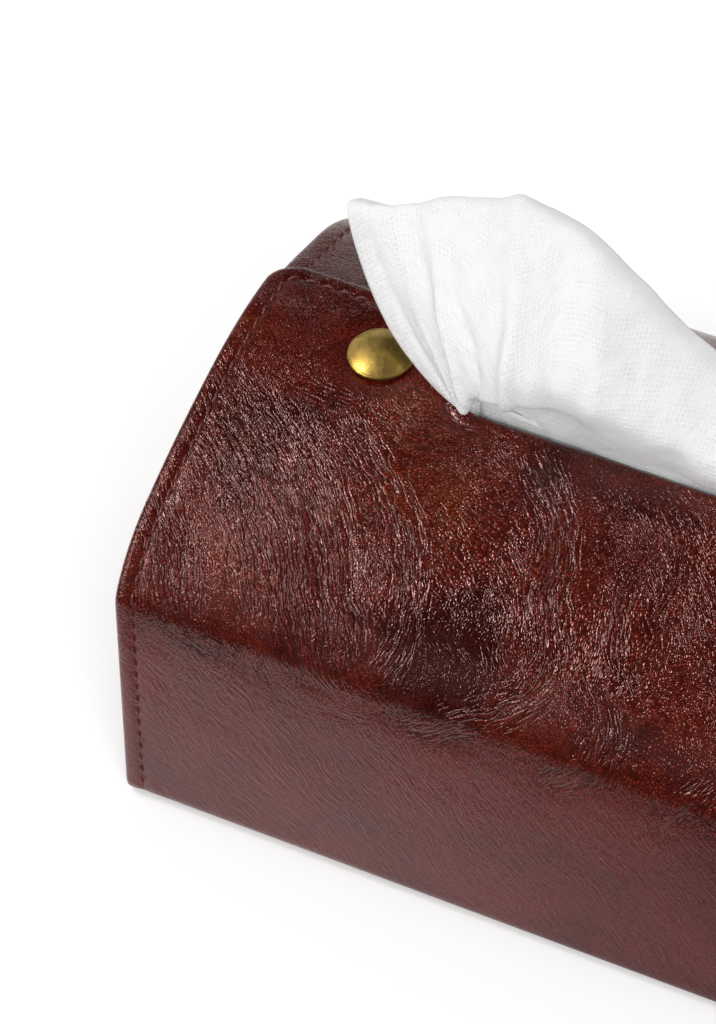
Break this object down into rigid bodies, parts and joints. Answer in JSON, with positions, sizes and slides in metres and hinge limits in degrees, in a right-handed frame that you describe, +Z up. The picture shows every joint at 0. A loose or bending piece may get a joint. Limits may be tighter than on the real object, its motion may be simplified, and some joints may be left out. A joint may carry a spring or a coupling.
{
  "type": "tissue case",
  "caption": "Soft leather tissue case with snapped roof flaps and a slot that a folded tissue is drawn from.",
  "frame": {"origin": "middle of the footprint, on the surface the case stands on", "axes": "+Z up, X along the length and the slot, front flap folds at the -Y side"},
  "size_m": [0.25, 0.13, 0.1623],
  "materials": {
    "oxblood_leather": "glossy mottled dark red-brown, creased grain",
    "lining_cloth": "matte brown cloth",
    "stiffener_board": "matte grey-brown pressed board",
    "antique_brass": "antique, lightly brushed",
    "spring_steel": "satin wire",
    "tissue_paper": "matte white embossed tissue"
  },
  "bodies": {
    "case": {"outer_wrap": "oxblood_leather", "tray_lining": "lining_cloth", "front_board": "stiffener_board", "rear_board": "stiffener_board", "base_board": "stiffener_board", "left_end_panel": "oxblood_leather", "right_end_panel": "oxblood_leather", "left_end_board": "stiffener_board", "right_end_board": "stiffener_board", "left_end_lining": "lining_cloth", "right_end_lining": "lining_cloth", "tissue_stack": "tissue_paper"},
    "front_flap": {"front_flap": "oxblood_leather", "front_flap_lining": "lining_cloth", "snap_caps": "antique_brass", "snap_sockets": "antique_brass", "snap_springs": "spring_steel"},
    "rear_flap": {"rear_flap": "oxblood_leather", "rear_flap_lining": "lining_cloth", "snap_studs": "antique_brass", "snap_rivets": "antique_brass"},
    "drawn_sheet": {"tissue_sheet": "tissue_paper"}
  },
  "joints": [
    {"name": "front_flap_fold", "type": "hinge", "parent": "case", "child": "front_flap", "pos_m": [0, -0.0644, 0.067], "axis": [1, 0, 0], "range_deg": [0, 140]},
    {"name": "rear_flap_fold", "type": "hinge", "parent": "case", "child": "rear_flap", "pos_m": [0, 0.0644, 0.064], "axis": [-1, 0, 0], "range_deg": [0, 42]},
    {"name": "tissue_pull", "type": "slide", "parent": "front_flap", "child": "drawn_sheet", "axis": [0, 0, 1], "range_m": [0, 0.038]}
  ],
  "couplings": [
    {"joint": "rear_flap_fold", "follows": "front_flap_fold", "ratio": 0.3}
  ]
}
